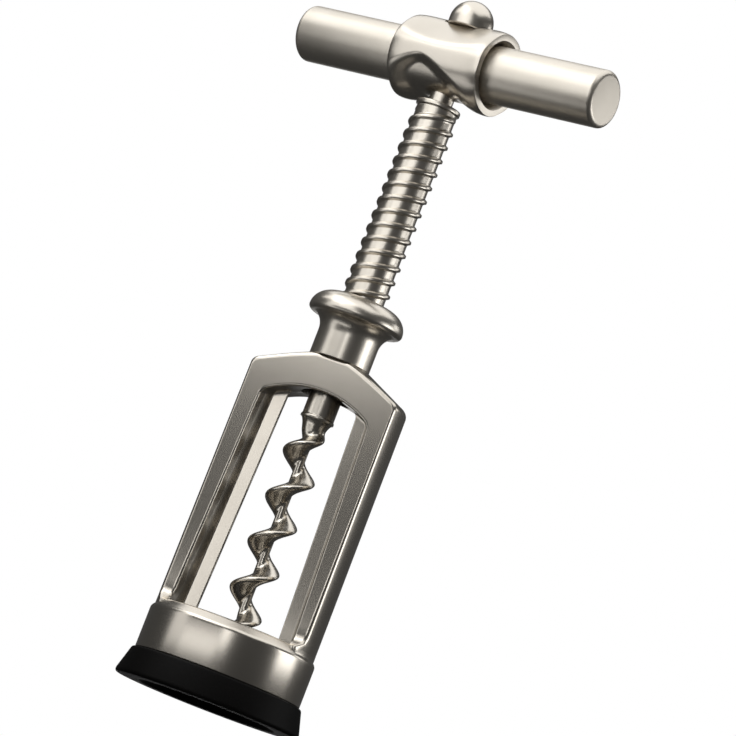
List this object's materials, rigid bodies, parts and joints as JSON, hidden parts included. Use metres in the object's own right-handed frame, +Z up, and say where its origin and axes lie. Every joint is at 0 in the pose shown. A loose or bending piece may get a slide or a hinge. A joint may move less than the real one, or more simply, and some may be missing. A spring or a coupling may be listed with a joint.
{
  "type": "bell corkscrew",
  "caption": "Screw-type corkscrew: a windowed metal bell on a plastic seat ring, with a threaded spindle, an auger worm and a T-handle that winds the cork up into the bell.",
  "frame": {"origin": "centre of the underside of the seat ring, on the spindle axis", "axes": "+Z up along the spindle towards the handle, X across the window faces from leg to leg, -Y out of the front window"},
  "size_m": [0.0858, 0.0458, 0.1799],
  "materials": {
    "satin_steel": "satin",
    "polished_steel": "polished",
    "black_plastic": "satin"
  },
  "bodies": {
    "bell": {"seat_ring": "black_plastic", "bell_frame": "satin_steel", "neck_collar": "satin_steel"},
    "stop": {"stop_washer": "polished_steel"},
    "screw": {"spindle": "polished_steel", "worm": "polished_steel", "worm_pin": "polished_steel", "hub": "satin_steel", "handle_bar": "satin_steel", "dome_nut": "polished_steel"}
  },
  "joints": [
    {"name": "spindle_travel", "type": "slide", "parent": "bell", "child": "stop", "axis": [0, 0, 1], "range_m": [-0.04725, 0.007]},
    {"name": "handle_turn", "type": "hinge", "parent": "stop", "child": "screw", "pos_m": [0, 0, 0.1], "axis": [0, 0, 1], "range_deg": [-2430, 360]}
  ],
  "couplings": [
    {"joint": "spindle_travel", "follows": "handle_turn", "m_per_rad": 0.0011141}
  ]
}
